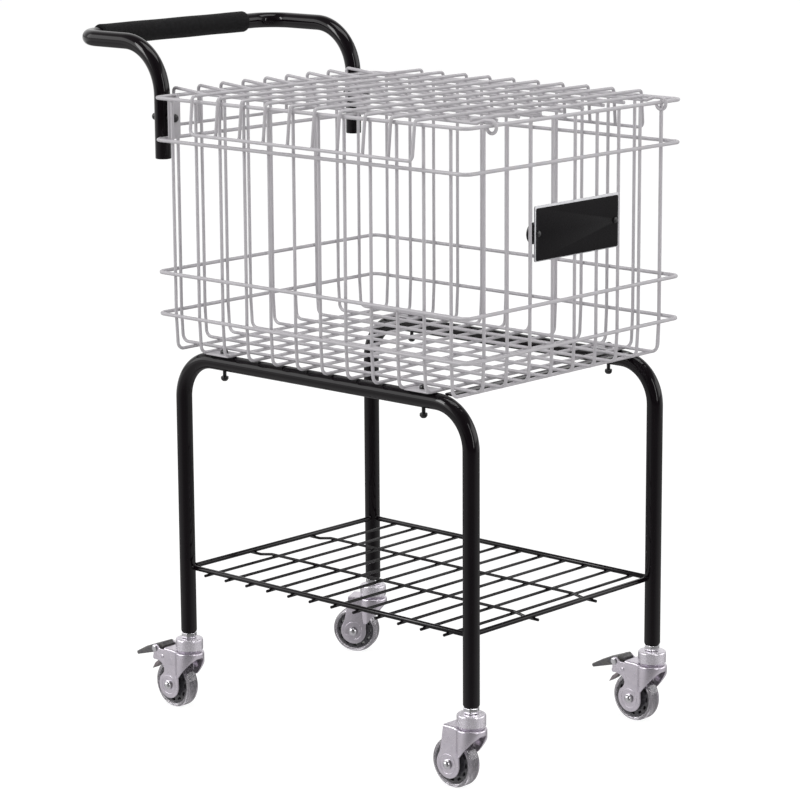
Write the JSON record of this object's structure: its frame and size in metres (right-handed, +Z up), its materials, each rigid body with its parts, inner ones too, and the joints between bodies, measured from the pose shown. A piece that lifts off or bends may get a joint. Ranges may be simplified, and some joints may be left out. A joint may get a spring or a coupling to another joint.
{
  "type": "tennis ball cart",
  "caption": "Wire basket with a hinged wire lid on a black tube frame with a wire shelf, push handle with foam grip and swivel casters with foot brakes.",
  "frame": {"origin": "on the floor, under the middle of the bounding box", "axes": "+X is the travel direction, towards the name plate and the lid's hinges; +Z is up; the handle is at minus X"},
  "size_m": [0.7622, 0.4676, 0.9422],
  "materials": {
    "steel_light": "satin powder coat, light warm grey",
    "gloss_black": "gloss black powder coat",
    "black_screw": "black oxide",
    "foam_black": "matte foam",
    "plate_black": "satin black face on thin metal",
    "zinc_satin": "satin zinc plate",
    "zinc_bright": "bright zinc",
    "wheel_core": "dark translucent plastic",
    "wheel_tyre": "light grey soft tread",
    "pedal_grey": "moulded dark grey plastic"
  },
  "bodies": {
    "cart_frame": {"right_hoop": "gloss_black", "left_hoop": "gloss_black", "lower_shelf": "gloss_black", "cross_strip": "gloss_black", "basket_cage": "steel_light", "rear_right_basket_bolt": "black_screw", "rear_right_basket_nut": "black_screw", "front_right_basket_bolt": "black_screw", "front_right_basket_nut": "black_screw", "front_left_basket_bolt": "black_screw", "front_left_basket_nut": "black_screw", "rear_left_basket_bolt": "black_screw", "rear_left_basket_nut": "black_screw", "handle_tube": "gloss_black", "foam_grip": "foam_black", "right_handle_bracket": "steel_light", "right_handle_bolt": "black_screw", "right_handle_nut": "black_screw", "left_handle_bracket": "steel_light", "left_handle_bolt": "black_screw", "left_handle_nut": "black_screw", "name_plate": "plate_black", "right_plate_screw": "black_screw", "right_plate_nut": "black_screw", "left_plate_screw": "black_screw", "left_plate_nut": "black_screw", "rear_right_stem_nut": "zinc_bright", "rear_right_swivel_cup": "zinc_satin", "front_right_stem_nut": "zinc_bright", "front_right_swivel_cup": "zinc_satin", "front_left_stem_nut": "zinc_bright", "front_left_swivel_cup": "zinc_satin", "rear_left_stem_nut": "zinc_bright", "rear_left_swivel_cup": "zinc_satin"},
    "lid": {"lid": "steel_light"},
    "rear_right_swivel": {"rear_right_fork": "zinc_satin", "rear_right_axle": "zinc_bright", "rear_right_pedal_pin": "zinc_bright"},
    "rear_right_wheel": {"rear_right_wheel_hub": "wheel_core", "rear_right_tyre": "wheel_tyre"},
    "rear_right_pedal": {"rear_right_pedal": "pedal_grey"},
    "rear_right_leaf": {"rear_right_brake_leaf": "zinc_bright"},
    "front_right_swivel": {"front_right_fork": "zinc_satin", "front_right_axle": "zinc_bright"},
    "front_right_wheel": {"front_right_wheel_hub": "wheel_core", "front_right_tyre": "wheel_tyre"},
    "front_left_swivel": {"front_left_fork": "zinc_satin", "front_left_axle": "zinc_bright", "front_left_pedal_pin": "zinc_bright"},
    "front_left_wheel": {"front_left_wheel_hub": "wheel_core", "front_left_tyre": "wheel_tyre"},
    "front_left_pedal": {"front_left_pedal": "pedal_grey"},
    "front_left_leaf": {"front_left_brake_leaf": "zinc_bright"},
    "rear_left_swivel": {"rear_left_fork": "zinc_satin", "rear_left_axle": "zinc_bright"},
    "rear_left_wheel": {"rear_left_wheel_hub": "wheel_core", "rear_left_tyre": "wheel_tyre"}
  },
  "joints": [
    {"name": "lid_hinge", "type": "hinge", "parent": "cart_frame", "child": "lid", "pos_m": [0.36964, 0, 0.858], "axis": [0, 1, 0], "range_deg": [-0.3, 239.6]},
    {"name": "rear_right_swivel_turn", "type": "hinge", "parent": "cart_frame", "child": "rear_right_swivel", "pos_m": [-0.16956, -0.188, 0.09], "axis": [0, 0, 1], "continuous": true},
    {"name": "rear_right_wheel_spin", "type": "hinge", "parent": "rear_right_swivel", "child": "rear_right_wheel", "pos_m": [-0.19556, -0.188, 0.0335], "axis": [0, 1, 0], "continuous": true},
    {"name": "rear_right_pedal_press", "type": "hinge", "parent": "rear_right_swivel", "child": "rear_right_pedal", "pos_m": [-0.22256, -0.188, 0.0815], "axis": [0, 1, 0], "range_deg": [-12, 0]},
    {"name": "rear_right_leaf_bend", "type": "hinge", "parent": "rear_right_swivel", "child": "rear_right_leaf", "pos_m": [-0.20706, -0.188, 0.0725], "axis": [0, 1, 0], "range_deg": [-8.4, 0]},
    {"name": "front_right_swivel_turn", "type": "hinge", "parent": "cart_frame", "child": "front_right_swivel", "pos_m": [0.35244, -0.188, 0.09], "axis": [0, 0, 1], "continuous": true},
    {"name": "front_right_wheel_spin", "type": "hinge", "parent": "front_right_swivel", "child": "front_right_wheel", "pos_m": [0.32644, -0.188, 0.0335], "axis": [0, 1, 0], "continuous": true},
    {"name": "front_left_swivel_turn", "type": "hinge", "parent": "cart_frame", "child": "front_left_swivel", "pos_m": [0.35244, 0.188, 0.09], "axis": [0, 0, 1], "continuous": true},
    {"name": "front_left_wheel_spin", "type": "hinge", "parent": "front_left_swivel", "child": "front_left_wheel", "pos_m": [0.32644, 0.188, 0.0335], "axis": [0, 1, 0], "continuous": true},
    {"name": "front_left_pedal_press", "type": "hinge", "parent": "front_left_swivel", "child": "front_left_pedal", "pos_m": [0.29944, 0.188, 0.0815], "axis": [0, 1, 0], "range_deg": [-12, 0]},
    {"name": "front_left_leaf_bend", "type": "hinge", "parent": "front_left_swivel", "child": "front_left_leaf", "pos_m": [0.31494, 0.188, 0.0725], "axis": [0, 1, 0], "range_deg": [-8.4, 0]},
    {"name": "rear_left_swivel_turn", "type": "hinge", "parent": "cart_frame", "child": "rear_left_swivel", "pos_m": [-0.16956, 0.188, 0.09], "axis": [0, 0, 1], "continuous": true},
    {"name": "rear_left_wheel_spin", "type": "hinge", "parent": "rear_left_swivel", "child": "rear_left_wheel", "pos_m": [-0.19293, 0.1766, 0.0335], "axis": [-0.4384, 0.8988, 0], "continuous": true}
  ],
  "couplings": [
    {"joint": "rear_right_leaf_bend", "follows": "rear_right_pedal_press", "ratio": 0.7},
    {"joint": "front_left_leaf_bend", "follows": "front_left_pedal_press", "ratio": 0.7}
  ]
}
